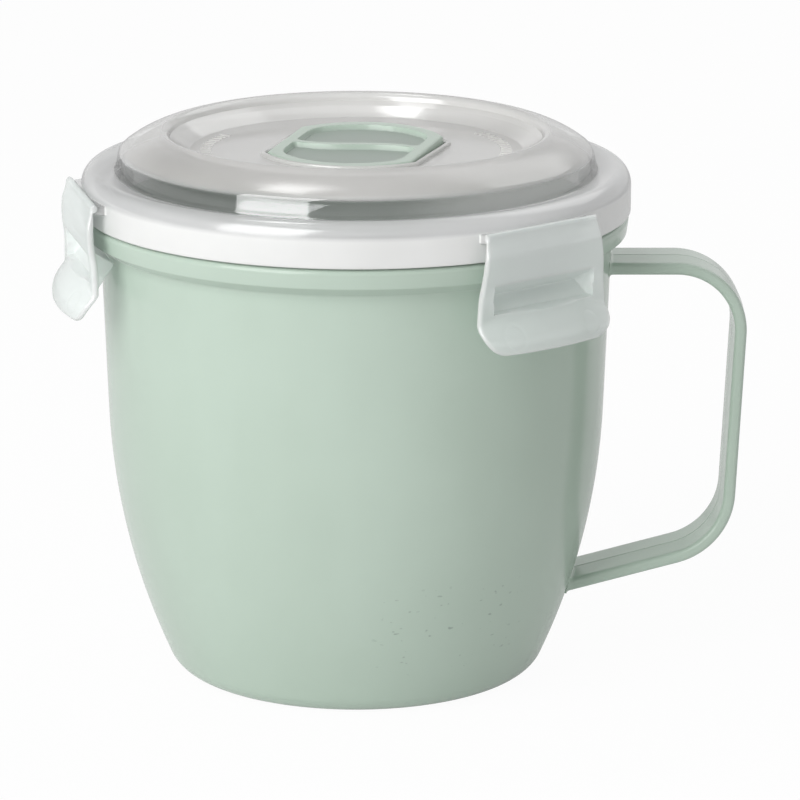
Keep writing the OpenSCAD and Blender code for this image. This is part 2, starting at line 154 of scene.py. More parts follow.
# moulded sage plastic of the mug and the vent flap
sagePlastic = {"light": (0.494, 0.597, 0.516, 1), "deep": (0.473, 0.573, 0.492, 1), "cloudScale": 22,
               "flowScale": 60, "flowStretch": (1, 1, 0.25), "grainScale": 2600, "flowShare": 0.35,
               "toneCut": (0.35, 0.65), "rough": 0.15, "flowRough": 0.06, "grainRough": 0.04,
               "flowHeight": 0.6, "bump": 0.05, "bumpDepth": 0.4, "ior": 1.49, "specular": 0.4,
               "coat": 0.05, "coatRough": 0.12}
# matt floor in the flap's finger recesses, with painted shade: its colour is darker and greyer there
recessShadeAndMatt = {"colour": (0.385, 0.44, 0.4, 1), "rough": 0.3, "scale": 4200, "height": 1.5}
# a few small scuffs low on the front of the mug
scuffLook = {"colour": (0.17, 0.22, 0.2, 1), "left": (2, 8), "right": (34, 40), "front": (-20, 0),
             "low": (9, 13), "high": (30, 35), "scale": 520, "stretch": (1, 1, 1.7), "cut": (0.7, 0.76),
             "share": 0.55, "rough": 0.25}


def makeSage(name, s, well=None, scuff=None):
    material, w, place = newMaterial(name)
    cloud = noise(w, place, s["cloudScale"], 2)
    flow = noise(w, place, s["flowScale"], 3, 0.5, s["flowStretch"])
    grain = noise(w, place, s["grainScale"], 2, 0.6)
    tone = ramped(w, cloud * (1 - s["flowShare"]) + flow * s["flowShare"], *s["toneCut"])
    colour = blended(w, tone, s["deep"], s["light"])
    rough = s["rough"] + (flow - 0.5) * s["flowRough"] + (grain - 0.5) * s["grainRough"]
    height = grain + flow * s["flowHeight"]
    if well:
        inside = w.make("ShaderNodeAttribute", {"attribute_name": "well"}, None, "Fac")
        # painted shade: the recess floor's colour is darker and greyer; the added roughness and bump are its
        # matt finish
        colour = blended(w, inside, colour, well["colour"])
        rough = rough + inside * well["rough"]
        height = height + inside * noise(w, place, well["scale"], 1) * well["height"]
    if scuff:
        x, y, z = place.parts()
        area = (zoned(w, x, scuff["left"]) * zoned(w, x, scuff["right"], 1, 0) * zoned(w, z, scuff["low"])
                * zoned(w, z, scuff["high"], 1, 0) * zoned(w, y, scuff["front"], 1, 0))
        specks = noise(w, place, scuff["scale"], 1, 0.4, scuff["stretch"])
        marks = area * ramped(w, specks, *scuff["cut"])
        colour = blended(w, marks * scuff["share"], colour, scuff["colour"])
        rough = rough + marks * scuff["rough"]
    finished(w, w.make("ShaderNodeBsdfPrincipled", None, {
        "Base Color": colour, "Roughness": rough, "Normal": bumped(w, s["bump"], s["bumpDepth"], height),
        "IOR": s["ior"], "Specular IOR Level": s["specular"], "Coat Weight": s["coat"],
        "Coat Roughness": s["coatRough"]}))
    return material


# natural polypropylene of the lid and the clips: clear, with a milky share
frostedPlastic = {"clear": (0.982, 0.987, 0.988, 1), "milk": (0.85, 0.855, 0.85, 1),
                  "warm": (0.945, 0.934, 0.914, 1), "shoulder": (0.9, 0.884, 0.86, 1),
                  "grey": (0.86, 0.868, 0.868, 1), "skirt": (0.83, 0.835, 0.825, 1),
                  "veil": (0.93, 0.985, 0.963, 1), "mirror": 0.105, "glance": 0.95, "clipGlance": 0.4,
                  "rough": 0.04, "flowRough": 0.08, "milkRough": 0.4, "milkFlow": 0.1, "unevenAndLitSide": 0.16,
                  "flowScale": 45, "grainScale": 1500, "grainHeight": 0.5, "bump": 0.02, "bumpDepth": 0.4,
                  "sheen": 0.05, "sheenRough": 0.4, "facing": 0.5, "glancePower": 4}


def frostedShader(w, place, f, milk, milkColour, roughAdd, glance):
    flow = noise(w, place, f["flowScale"], 3, 0.5)
    grain = noise(w, place, f["grainScale"], 2, 0.6)
    bump = bumped(w, f["bump"], f["bumpDepth"], grain * f["grainHeight"] + flow)
    through = w.make("ShaderNodeBsdfTransparent", None, {"Color": f["clear"]})
    cloudy = w.make("ShaderNodeBsdfPrincipled", None, {
        "Base Color": milkColour, "Roughness": f["milkRough"] + (flow - 0.5) * f["milkFlow"], "Normal": bump,
        "Specular IOR Level": 0.0, "Sheen Weight": f["sheen"], "Sheen Roughness": f["sheenRough"]})
    share = w.maths("MINIMUM", milk * (1 + (flow - 0.5) * f["unevenAndLitSide"]), 1.0)
    wall = w.make("ShaderNodeMixShader", None, {0: share, 1: through, 2: cloudy})
    gloss = w.make("ShaderNodeBsdfGlossy", None, {
        "Roughness": f["rough"] + roughAdd + (flow - 0.5) * f["flowRough"], "Normal": bump})
    facing = w.make("ShaderNodeLayerWeight", None, {"Blend": f["facing"]}, "Facing")
    mirror = f["mirror"] + facing ** f["glancePower"] * (glance - f["mirror"])
    return w.make("ShaderNodeMixShader", None, {0: mirror, 1: wall, 2: gloss})


# milky share of each part of the lid; two shares also carry painted light, making the dome milkier high up
# and on its right side
lidMilk = {"panel": 0.52, "slope": 0.55, "crest": 0.42, "dome": 0.01, "unevenAndLitSide": 0.24, "flange": 0.58,
           "skirt": 0.95, "plug": 0.7, "lug": 0.55}
lidRough = {"centre": 0.06, "crest": 0.18, "outer": 0.13}
# where one part of the lid passes into the next, by radius and by height, and where painted light makes the
# dome milkier: high up, and once by X on its right side
lidZones = {"slopeR": (39.5, 42.5), "centreR": (40, 50), "domeR": (43.5, 47), "plugR": (53, 56),
            "shoulderR": (55, 56.5), "outerR": (57, 57.8), "skirtR": (61.2, 62.2), "lugR": (65.2, 65.6),
            "plugZ": (118, 120.5), "skirtZ": (118.2, 119.6), "topLightHazeZ": (125.5, 126.3), "crestZ": (126.3, 128),
            "litSideX": (5, 40)}


def makeLidMaterial(name, f, m, rough, zones):
    material, w, place = newMaterial(name)
    x, y, z = place.parts()
    radius = (x * x + y * y) ** 0.5
    # from the middle out: panel, slope, crest, dome, flange, and the skirt below it
    milk = m["panel"] + zoned(w, radius, zones["slopeR"], 0, m["slope"] - m["panel"])
    # painted light: the dome is made milkier towards its right side, so it shows lighter there, standing in
    # for the lit inside of the mug seen through it
    clear = m["dome"] + zoned(w, x, zones["litSideX"], 0, m["unevenAndLitSide"])
    # painted light: the dome is made milkier above this height, so its upper part shows lighter, as where
    # light from above falls
    dome = clear + zoned(w, z, zones["topLightHazeZ"]) * (m["crest"] - clear)
    milk = milk + zoned(w, radius, zones["domeR"]) * (dome - m["slope"])
    outer = zoned(w, radius, zones["outerR"])
    skirt = zoned(w, z, zones["skirtZ"], 1, 0) * zoned(w, radius, zones["skirtR"])
    plug = zoned(w, z, zones["plugZ"], 1, 0) * zoned(w, radius, zones["plugR"]) * (1 - outer)
    milk = milk + outer * (m["flange"] - m["dome"]) + skirt * (m["skirt"] - m["flange"])
    milk = milk + plug * (m["plug"] - m["dome"]) - zoned(w, radius, zones["lugR"]) * m["lug"]
    centre = zoned(w, radius, zones["centreR"], 1, 0)
    crest = zoned(w, z, zones["crestZ"]) * (1 - centre)
    colour = blended(w, zoned(w, radius, zones["shoulderR"], 1, 0), f["milk"], f["shoulder"])
    for share, shade in ((centre, "warm"), (outer, "grey"), (skirt, "skirt")):
        colour = blended(w, share, colour, f[shade])
    roughAdd = centre * rough["centre"] + crest * rough["crest"] + outer * rough["outer"]
    finished(w, frostedShader(w, place, f, milk, colour, roughAdd, f["glance"]))
    return material


clipMilk = {"plate": 0.48, "upper": 0.12, "upperZ": (100, 106), "edge": 0.62, "rough": 0.12}


def makeClipMaterial(name, f, m):
    material, w, place = newMaterial(name)
    edge = w.make("ShaderNodeAttribute", {"attribute_name": "edgeGlow"}, None, "Fac")
    # cloudier above the lip
    plate = m["plate"] + zoned(w, place.parts()[2], m["upperZ"], 0, m["upper"])
    milk = plate + edge * (m["edge"] - plate)
    colour = blended(w, edge, f["veil"], f["milk"])
    finished(w, frostedShader(w, place, f, milk, colour, m["rough"], f["clipGlance"]))
    return material


siliconeRubber = {"colour": (0.8, 0.81, 0.8, 1), "shade": (0.7, 0.715, 0.7, 1), "cloudScale": 90,
                  "grainScale": 1800, "rough": 0.5, "cloudRough": 0.2, "bump": 0.15, "bumpDepth": 0.3,
                  "sheen": 0.15}


def makeSilicone(name, s):
    material, w, place = newMaterial(name)
    cloud = noise(w, place, s["cloudScale"], 3)
    grain = noise(w, place, s["grainScale"], 2)
    finished(w, w.make("ShaderNodeBsdfPrincipled", None, {
        "Base Color": blended(w, cloud, s["shade"], s["colour"]),
        "Roughness": s["rough"] + (cloud - 0.5) * s["cloudRough"],
        "Normal": bumped(w, s["bump"], s["bumpDepth"], grain), "Sheen Weight": s["sheen"]}))
    return material


sage = makeSage("sagePlastic", sagePlastic, scuff=scuffLook)
ventSage = makeSage("ventPlastic", sagePlastic, well=recessShadeAndMatt)
lidFrost = makeLidMaterial("lidPlastic", frostedPlastic, lidMilk, lidRough, lidZones)
clipFrost = makeClipMaterial("clipPlastic", frostedPlastic, clipMilk)
silicone = makeSilicone("siliconeRubber", siliconeRubber)
print("materials made")


# mesh helpers: points are millimetres, meshes are metres
def plainMesh(name, points, edges, faces):
    mesh = bpy.data.meshes.new(name)
    mesh.from_pydata([Vector(p) * mm for p in points], edges, faces)
    return mesh


def meshOf(name, points, faces):
    return tidied(plainMesh(name, points, [], faces))


def tidied(mesh, sharpAngle=34, weld=2e-7, thin=1e-8):
    work = bmesh.new()
    work.from_mesh(mesh)
    bmesh.ops.remove_doubles(work, verts=work.verts, dist=weld)
    bmesh.ops.dissolve_degenerate(work, dist=thin, edges=work.edges)
    bmesh.ops.recalc_face_normals(work, faces=work.faces)
    work.to_mesh(mesh)
    work.free()
    mesh.shade_smooth()
    mesh.set_sharp_from_angle(angle=math.radians(sharpAngle))
    return mesh


def shown(name, mesh):
    piece = bpy.data.objects.new(name, mesh)
    scene.collection.objects.link(piece)
    return piece


def evaluated(piece):
    bpy.context.view_layer.update()
    return bpy.data.meshes.new_from_object(piece.evaluated_get(bpy.context.evaluated_depsgraph_get()))


def combined(piece, other, operation):
    # union or difference with a second mesh, which is then removed
    helper = shown("helper", other)
    modifier = piece.modifiers.new("combine", "BOOLEAN")
    modifier.operation = operation
    modifier.solver = "MANIFOLD"
    modifier.object = helper
    mesh = evaluated(piece)
    piece.modifiers.clear()
    piece.data = mesh
    bpy.data.objects.remove(helper)
    return piece


def dressed(piece, material, body, slotName, *nodes):
    tidied(piece.data)
    piece.data.materials.clear()
    piece.data.materials.append(material)
    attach(piece, body)
    if nodes:
        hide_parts(*nodes)
    return piece


def arc(centre, radii, start, end, count=12):
    angles = [math.radians(start + (end - start) * k / count) for k in range(count + 1)]
    return [(centre[0] + radii[0] * math.cos(a), centre[1] + radii[1] * math.sin(a)) for a in angles]


def ring(radius, count, centre=(0, 0)):
    angles = [2 * math.pi * k / count for k in range(count)]
    return [(centre[0] + radius * math.cos(a), centre[1] + radius * math.sin(a)) for a in angles]


def run(start, end, count, withEnds=False):
    # places on a straight line, with its two ends or between them
    picks = range(count + 1) if withEnds else range(1, count)
    return [tuple(a + (b - a) * k / count for a, b in zip(start, end)) for k in picks]


def rounded(corners, count=6):
    # outline through corners given as (x, y) or (x, y, radius), open at its two ends
    line = [tuple(corners[0][:2])]
    for before, here, after in zip(corners, corners[1:], corners[2:]):
        point = Vector(here[:2])
        if len(here) < 3 or here[2] <= 0:
            line.append(tuple(point))
            continue
        radius = here[2]
        toBefore, toAfter = Vector(before[:2]) - point, Vector(after[:2]) - point
        half = toBefore.angle(toAfter) / 2
        reach = radius / math.tan(half)
        start, end = point + toBefore.normalized() * reach, point + toAfter.normalized() * reach
        bisector = (toBefore.normalized() + toAfter.normalized()).normalized()
        middle = point + bisector * (radius / math.sin(half))
        a0, a1 = (math.atan2(*reversed(p - middle)) for p in (start, end))
        turn = (a1 - a0 + math.pi) % (2 * math.pi) - math.pi
        angles = [a0 + turn * k / count for k in range(count + 1)]
        line += [(middle.x + radius * math.cos(a), middle.y + radius * math.sin(a)) for a in angles]
    line.append(tuple(corners[-1][:2]))
    return line


def banded(low, high):
    # faces between two closed loops of points
    count = len(low)
    return [[low[k], low[(k + 1) % count], high[(k + 1) % count], high[k]] for k in range(count)]


def revolved(name, line, count, closed=False):
    # turns an outline of (radius, height) round the Z axis
    points, rings = [], []
    for radius, height in line:
        if radius < 1e-6:
            rings.append([len(points)] * count)
            points.append((0, 0, height))
        else:
            rings.append(list(range(len(points), len(points) + count)))
            points += [(x, y, height) for x, y in ring(radius, count)]
    faces = []
    for low, high in zip(rings, rings[1:] + rings[:1] if closed else rings[1:]):
        for quad in banded(low, high):
            quad = [v for i, v in enumerate(quad) if v not in quad[:i]]
            if len(quad) > 2:
                faces.append(quad)
    return meshOf(name, points, faces)


def lofted(name, loops):
    # closed skin through loops of equal count, each a list of points
    count = len(loops[0])
    points = [p for loop in loops for p in loop]
    rows = [list(range(k * count, (k + 1) * count)) for k in range(len(loops))]
    faces = [rows[0][::-1], rows[-1]]
    for low, high in zip(rows, rows[1:]):
        faces += banded(low, high)
    return meshOf(name, points, faces)


def turned(angle, across, along, height):
    # point given along and across a direction from the axis
    a = math.radians(angle)
    return (along * math.cos(a) - across * math.sin(a), along * math.sin(a) + across * math.cos(a), height)


def rod(name, angle, along, height, half, radius, count=32):
    # round bar that lies across a direction
    section = ring(radius, count, (along, height))
    return lofted(name, [[turned(angle, side * half, x, z) for x, z in section] for side in (-1, 1)])


def grow(name, tree, base, values):
    # runs a node tree on a mesh and keeps the result as a plain mesh
    holder = shown(name, base)
    modifier = holder.modifiers.new("grow", "NODES")
    modifier.node_group = tree
    for item in tree.interface.items_tree:
        if item.in_out == "INPUT" and item.name in values:
            modifier[item.identifier] = values[item.name]
    mesh = evaluated(holder)
    holder.modifiers.clear()
    bpy.data.objects.remove(holder)
    return mesh


def newTree(name, sizes):
    tree = bpy.data.node_groups.new(name, "GeometryNodeTree")
    tree.interface.new_socket("Geometry", in_out="OUTPUT", socket_type="NodeSocketGeometry")
    tree.interface.new_socket("Geometry", in_out="INPUT", socket_type="NodeSocketGeometry")
    for label, kind in sizes.items():
        tree.interface.new_socket(label, in_out="INPUT", socket_type=kind)
    start = tree.nodes.new("NodeGroupInput")
    w = Wire(tree)
    return tree, w, {socket.name: Wire(tree, socket) for socket in start.outputs if socket.name}


def endTree(w, geometry, material):
    whole = w.make("GeometryNodeRealizeInstances", None, {"Geometry": geometry})
    coloured = w.make("GeometryNodeSetMaterial", None, {"Geometry": whole, "Material": material})
    w.make("NodeGroupOutput", None, {"Geometry": coloured})


# mug: wall, rim bead and strap in one moulding
mugSizes = {"rimZ": 116.2, "rimRound": 0.85, "wallR": 59.2, "bellyZ": 64.5, "draft": 2.1, "curve": 162.5,
            "wall": 2, "beadR": 64.8, "beadLean": 0.6, "beadTop": 111.8, "beadLow": 107.3,
            "beadRootZ": 105.0, "beadRound": 1.2, "beadLowRound": 0.55, "beadRootRound": 0.8,
            "beadTopRound": 0.6, "foot": 7, "floor": 2.6, "standIn": 34.5, "standRound": 0.5, "recess": 0.7,
            "recessRun": 1.2, "recessRound": 0.6, "segments": 224}
strapSizes = {"width": 18.2, "edge": 2.8, "mid": 3.2, "round": 1.05, "line": 0.18, "lineHalf": 0.22,
              "topZ": 99, "reach": 91.3, "lean": 2.75, "upperBend": 15.3, "lowerBend": 17, "slope": 15.1,
              "rootZ": 23.1, "rootRound": 0.9, "upperEnd": 57.5, "upperRun": 3, "lowerEnd": 47.5,
              "lowerRun": 8, "coreLow": 6, "coreHigh": 111, "coreStep": 3}


def wallPlace(s):
    # middle of the belly's arc
    a = math.radians(s["draft"])
    return s["wallR"] - s["curve"] * math.cos(a), s["bellyZ"] + s["curve"] * math.sin(a)


def wallAt(s, z):
    bellyX, bellyC = wallPlace(s)
    if z >= s["bellyZ"]:
        return s["wallR"] + (z - s["bellyZ"]) * math.tan(math.radians(s["draft"]))
    return bellyX + math.sqrt(s["curve"] ** 2 - (bellyC - z) ** 2)


def mugLine(s):
    belly, curve, foot, wall = wallPlace(s), s["curve"], s["foot"], s["wall"]
    footA = math.degrees(math.asin((belly[1] - foot) / (curve - foot)))
    footX = belly[0] + (curve - foot) * math.cos(math.radians(footA))
    floorA = math.degrees(math.asin((s["floor"] - foot) / (foot - wall)))
    rimR = wallAt(s, s["rimZ"])
    line = rounded([(0, s["recess"]), (s["standIn"] - s["recessRun"], s["recess"], s["recessRound"]),
                    (s["standIn"], 0, s["standRound"]), (footX, 0)])
    line += arc((footX, foot), (foot, foot), -90, -footA, 14)[1:]
    line += arc(belly, (curve, curve), -footA, -s["draft"], 40)[1:]
    line += rounded([(s["wallR"], s["bellyZ"]),
                     (wallAt(s, s["beadRootZ"]), s["beadRootZ"], s["beadRootRound"]),
                     (s["beadR"] - s["beadLean"], s["beadLow"], s["beadLowRound"]),
                     (s["beadR"], s["beadTop"], s["beadRound"]),
                     (wallAt(s, s["beadTop"]), s["beadTop"], s["beadTopRound"]),
                     (rimR, s["rimZ"], s["rimRound"]), (rimR - wall, s["rimZ"], s["rimRound"]),
                     (s["wallR"] - wall, s["bellyZ"])])[1:]
    line += arc(belly, (curve - wall, curve - wall), -s["draft"], -footA, 40)[1:]
    line += arc((footX, foot), (foot - wall, foot - wall), -footA, floorA, 12)[1:]
    return line + [(footX * 0.5, s["floor"]), (0, s["floor"])]


def strapPath(s, m):
    # middle of the strap from the upper root round the grip to the lower root, closely stepped at the roots
    lean, slope, topZ = math.radians(s["lean"]), math.radians(s["slope"]), s["topZ"]
    upper = Vector((s["reach"] - s["upperBend"], topZ - s["upperBend"]))
    gripStart = upper + s["upperBend"] * Vector((math.cos(lean), -math.sin(lean)))
    down = Vector((-math.sin(lean), -math.cos(lean)))
    inward = Vector((-math.cos(slope), -math.sin(slope)))
    p = gripStart + s["lowerBend"] * Vector((down.y, -down.x))
    q = Vector((m["wallR"], s["rootZ"])) + s["lowerBend"] * Vector((inward.y, -inward.x))
    lower = p + down * ((q - p).cross(inward) / down.cross(inward))
    lowerStart = lower - s["lowerBend"] * Vector((inward.y, -inward.x))
    clearX = wallAt(m, topZ) + s["upperRun"]
    path = run((s["upperEnd"], topZ), (clearX, topZ), 30, True) + run((clearX, topZ), (upper.x, topZ), 4)
    path += arc(upper, (s["upperBend"],) * 2, 90, -s["lean"], 40)
    lowerArc = arc(lower, (s["lowerBend"],) * 2, -s["lean"], s["slope"] - 90, 40)
    path += run(path[-1], lowerArc[0], 6) + lowerArc
    near, end = ((x, lowerStart.y - (lowerStart.x - x) * math.tan(slope))
                 for x in (s["lowerEnd"] + s["lowerRun"], s["lowerEnd"]))
    return path + run(path[-1], near, 4) + run(near, end, 34, True)


def strapSection(s):
    # loop of the strap's section: across in X, thickness in Y, with a fine parting line along each face
    half, ridge = s["width"] / 2, (s["mid"] - s["edge"]) / 2
    across = [half * k / 14 for k in range(-13, 14) if k] + [s["lineHalf"] * k / 2 for k in range(-2, 3)]
    loop = []
    for side in (1, -1):
        face = []
        for x in sorted(a for a in across if abs(a) < half - s["round"]):
            dip = s["line"] * max(0, 1 - abs(x) / s["lineHalf"])
            face.append((x, s["edge"] / 2 + ridge * (1 - abs(x) / half) - dip))
        corner = arc((half - s["round"], s["edge"] / 2 - s["round"]), (s["round"],) * 2, 90, 0, 7)
        other = [(-x, y) for x, y in reversed(corner)]
        loop += [(side * x, side * y) for x, y in reversed(other + face + corner)]
    return loop


def makeStrapTree(material):
    sizes = ("Root Round", "Wall Radius", "Belly Height", "Wall Slope", "Belly Curve", "Belly X", "Belly Z")
    kinds = {"Section": "NodeSocketObject", **{label: "NodeSocketFloat" for label in sizes}}
    tree, w, given = newTree("strapTree", kinds)
    path = w.make("GeometryNodeMeshToCurve", None, {"Mesh": given["Geometry"]})
    outline = w.make("GeometryNodeObjectInfo", None, {"Object": given["Section"]}, "Geometry")
    section = w.make("GeometryNodeMeshToCurve", None, {"Mesh": outline})
    skin = w.make("GeometryNodeCurveToMesh", None,
                  {"Curve": path, "Profile Curve": section, "Fill Caps": True})
    # the strap swells into a small round where it meets the wall
    x, y, z = w.make("GeometryNodeInputPosition").parts()
    upperWall = given["Wall Radius"] + (z - given["Belly Height"]) * given["Wall Slope"]
    drop = given["Belly Z"] - z
    lowerWall = given["Belly X"] + (given["Belly Curve"] * given["Belly Curve"] - drop * drop) ** 0.5
    isUpper = w.maths("GREATER_THAN", z, given["Belly Height"])
    gap = (x * x + y * y) ** 0.5 - (isUpper * upperWall + (1 - isUpper) * lowerWall)
    near = w.make("ShaderNodeClamp", None, {"Value": 1 - w.maths("ABSOLUTE", gap) / given["Root Round"]})
    swell = given["Root Round"] * (1 - (1 - near * near) ** 0.5)
    normal = w.make("GeometryNodeInputNormal")
    offset = w.make("ShaderNodeVectorMath", {"operation": "SCALE"}, {0: normal, "Scale": swell})
    endTree(w, w.make("GeometryNodeSetPosition", None, {"Geometry": skin, "Offset": offset}), material)
    return tree


def makeMug(m, s):
    mug = shown("mugSkin", revolved("mugSkin", mugLine(m), m["segments"]))
    loop = [(x, y, 0) for x, y in strapSection(s)]
    around = [(k, (k + 1) % len(loop)) for k in range(len(loop))]
    section = shown("strapSection", plainMesh("strapSection", loop, around, []))
    points = [(x, 0, z) for x, z in strapPath(s, m)]
    path = plainMesh("strapPath", points, [(k, k + 1) for k in range(len(points) - 1)], [])
    bellyX, bellyC = wallPlace(m)
    strap = grow("strap", makeStrapTree(sage), path, {
        "Section": section, "Root Round": s["rootRound"] * mm, "Wall Radius": m["wallR"] * mm,
        "Belly Height": m["bellyZ"] * mm, "Wall Slope": math.tan(math.radians(m["draft"])),
        "Belly Curve": m["curve"] * mm, "Belly X": bellyX * mm, "Belly Z": bellyC * mm})
    bpy.data.objects.remove(section)
    # the strap's ends stop in the middle of the wall
    ends = shown("strapEnds", tidied(strap))
    heights = range(s["coreLow"], s["coreHigh"] + 1, s["coreStep"])
    core = [(wallAt(m, z) - m["wall"] / 2, z) for z in heights]
    core = [(0, s["coreLow"])] + core + [(0, s["coreHigh"])]
    combined(ends, revolved("core", core, m["segments"]), "DIFFERENCE")
    combined(mug, ends.data, "UNION")
    bpy.data.objects.remove(ends)
    return dressed(mug, sage, "mug", "sage", "mug_body")


mugSkin = makeMug(mugSizes, strapSizes)
print("mug made:", len(mugSkin.data.polygons), "faces", [round(v / mm, 1) for v in mugSkin.dimensions])


# vent flap: rocker with two finger recesses and a curved web
ventSizes = {"length": 42.2, "width": 35.7, "endR": 22, "topZ": 127.6, "lowZ": 122.7, "rim": 2.9,
             "recess": 1.25, "web": 1.7, "bow": 1.5, "edge": 0.5, "wallRun": 0.5, "wellStart": 0.3,
             "corner": 2.4, "webCorner": 1.44, "pinZ": 124.1, "pinR": 1.2, "pinReach": 1.1, "pinRoot": 2,
             "pinRound": 0.3, "open": 3, "turn": 71.4, "sealAt": 10, "gap": 0.6,
             "edgeSteps": (0, 0.03, 0.1, 0.2, 0.34, 0.5, 0.72), "rows": 110, "columns": 136,
             "lowRound": ((0, 0.4), (0.12, 0.12), (0.4, 0))}


def softMin(a, b, soft):
    near = max(soft - abs(a - b), 0) / soft
    return min(a, b) - near * near * soft / 4


def softMax(a, b, soft):
    return -softMin(-a, -b, soft)


def ease(t):
    return (1 - math.cos(math.pi * max(0, min(1, t)))) / 2


def spread(reach, edges, count):
    # places from edge to edge, close together near both edges
    inside = reach - edges[-1]
    middle = [inside * (2 * k / count - 1) for k in range(count + 1)]
    return [-reach + e for e in edges[:-1]] + middle + [reach - e for e in reversed(edges[:-1])]


def ventLoop(v, grown, count=24):
    # flap's outline in its own directions, grown all round
    half, radius = v["width"] / 2 + grown, v["endR"] + grown
    middle = v["length"] / 2 - v["endR"]
    end = [half * (2 * k / count - 1) for k in range(count + 1)]
    right = [(middle + math.sqrt(radius ** 2 - y * y), y) for y in end]
    return right + [(-x, -y) for x, y in right]


def ventPlace(v, along, across, height):
    # flap's own point, tilted open about its pins and turned with the lid
    tilt = math.radians(v["open"])
    up = height - v["pinZ"]
    return turned(v["turn"], across, along * math.cos(tilt) - up * math.sin(tilt),
                  v["pinZ"] + along * math.sin(tilt) + up * math.cos(tilt))


def webBow(v, across):
    return -v["bow"] * math.sin(2 * math.pi * across / v["width"])


def ventHeight(v, along, across):
    # height of the flap's top, and how far inside a recess the place is
    middle = v["length"] / 2 - v["endR"]
    side = v["width"] / 2 - abs(across)
    end = v["endR"] - math.hypot(abs(along) - middle, across)
    edge = max(0, min(side, end))
    inner = softMin(side, end, v["corner"]) - v["rim"]
    web = abs(along - webBow(v, across)) - v["web"] / 2
    well = softMin(inner, web, v["webCorner"]) / v["wallRun"]
    lift = v["edge"] - math.sqrt(max(0, v["edge"] ** 2 - max(0, v["edge"] - edge) ** 2))
    return v["topZ"] - v["recess"] * ease(well) - lift, ease(well - v["wellStart"])


def makeVent(v):
    middle = v["length"] / 2 - v["endR"]
    points, wells, rows, flat = [], [], [], []
    for across in spread(v["width"] / 2, v["edgeSteps"], v["rows"]):
        reach = middle + math.sqrt(v["endR"] ** 2 - across ** 2)
        row = []
        for step in spread(reach, v["edgeSteps"], v["columns"]):
            along = step + webBow(v, across) * (1 - (step / reach) ** 2)
            height, well = ventHeight(v, along, across)
            row.append(len(points))
            points.append(ventPlace(v, along, across, height))
            wells.append(well)
            flat.append((along, across))
        rows.append(row)
    faces = [[a[k], a[k + 1], b[k + 1], b[k]] for a, b in zip(rows, rows[1:]) for k in range(len(a) - 1)]
    # side wall and underside below the top's border
    border = rows[0] + [row[-1] for row in rows[1:]]
    border += rows[-1][-2::-1] + [row[0] for row in reversed(rows[1:-1])]
    rings = [border]
    for inset, rise in v["lowRound"]:
        rings.append(list(range(len(points), len(points) + len(border))))
        shrink = (1 - inset * 2 / v["length"], 1 - inset * 2 / v["width"])
        for along, across in (flat[index] for index in border):
            points.append(ventPlace(v, along * shrink[0], across * shrink[1], v["lowZ"] + rise))
    for high, low in zip(rings, rings[1:]):
        faces += banded(high, low)
    faces.append(rings[-1])
    mesh = plainMesh("ventFlap", points, [], faces)
    wells += [0.0] * (len(points) - len(wells))
    mesh.attributes.new("well", "FLOAT", "POINT").data.foreach_set("value", wells)
    flap = shown("ventFlap", tidied(mesh))
    tip, slim = v["pinReach"] - v["pinRound"], v["pinR"] - v["pinRound"]
    for side in (-1, 1):
        pin = []
        for reach, radius in ((-v["pinRoot"], v["pinR"]), (tip, v["pinR"]), (v["pinReach"], slim)):
            across = side * (v["width"] / 2 + reach)
            pin.append([ventPlace(v, x, across, z) for x, z in ring(radius, 28, (0, v["pinZ"]))])
        combined(flap, lofted("pin", pin), "UNION")
    return dressed(flap, ventSage, "vent", "sage", "vent_flap")


ventFlap = makeVent(ventSizes)
print("vent flap made:", len(ventFlap.data.polygons), "faces")


# lid: revolved shell with the vent's pocket, steam seat and hinge lugs
lidSizes = {"panelZ": 126.0, "wall": 1.6, "panelR": 39.6, "panelRound": 1.0, "stepR": 42.9, "stepZ": 128.2,
            "stepRound": 0.35, "crestR": 46, "crestZ": 129.2, "crest": 2, "crestFrom": 160, "crestTo": 75,
            "sideLean": 13, "sideH": 4.0, "bendR": 2.2, "shoulderLean": 52, "shoulderX": 44.2,
            "shoulderW": 13, "shoulderH": 9.6, "underRound": 0.6, "domeZ": 121.6, "valleyRound": 0.45,
            "skirtR": 65.1, "flangeZ": 122.6, "flangeW": 3.3, "flangeH": 4, "skirtLow": 112.1,
            "chamfer": 0.6, "channelR": 62.6, "channelRound": 0.2, "roofZ": 118.6, "plugR": 58.4,
            "plugT": 1.4, "plugLow": 113.0, "plugRound": 0.5, "pocketZ": 120.1, "pocketRound": 0.4,
            "mouthRound": 0.25, "tubZ": 118.5, "tubRound": 0.5, "seatZ": 120.9, "seatR": 4, "steamR": 2.5,
            "coaming": 1.1, "coamingH": 0.8, "coamingRound": 0.4, "coamingBevel": 0.3, "mouthRise": 0.01,
            "mouthOut": 0.3, "mouthTop": 3, "seatRoot": 0.4, "steamPast": 1, "crestStart": 0.95,
            "valleyRun": 0.6, "valleyDrop": 0.02, "flangeFrom": 92, "pinHole": 1.26, "segments": 208}
lugSizes = {"end": 0.12, "slant": 1.9, "back": 0.15, "low": 116.7, "top": 118.9, "in": 63.6, "round": 0.25,
            "groove": 0.98, "groovePast": 1}


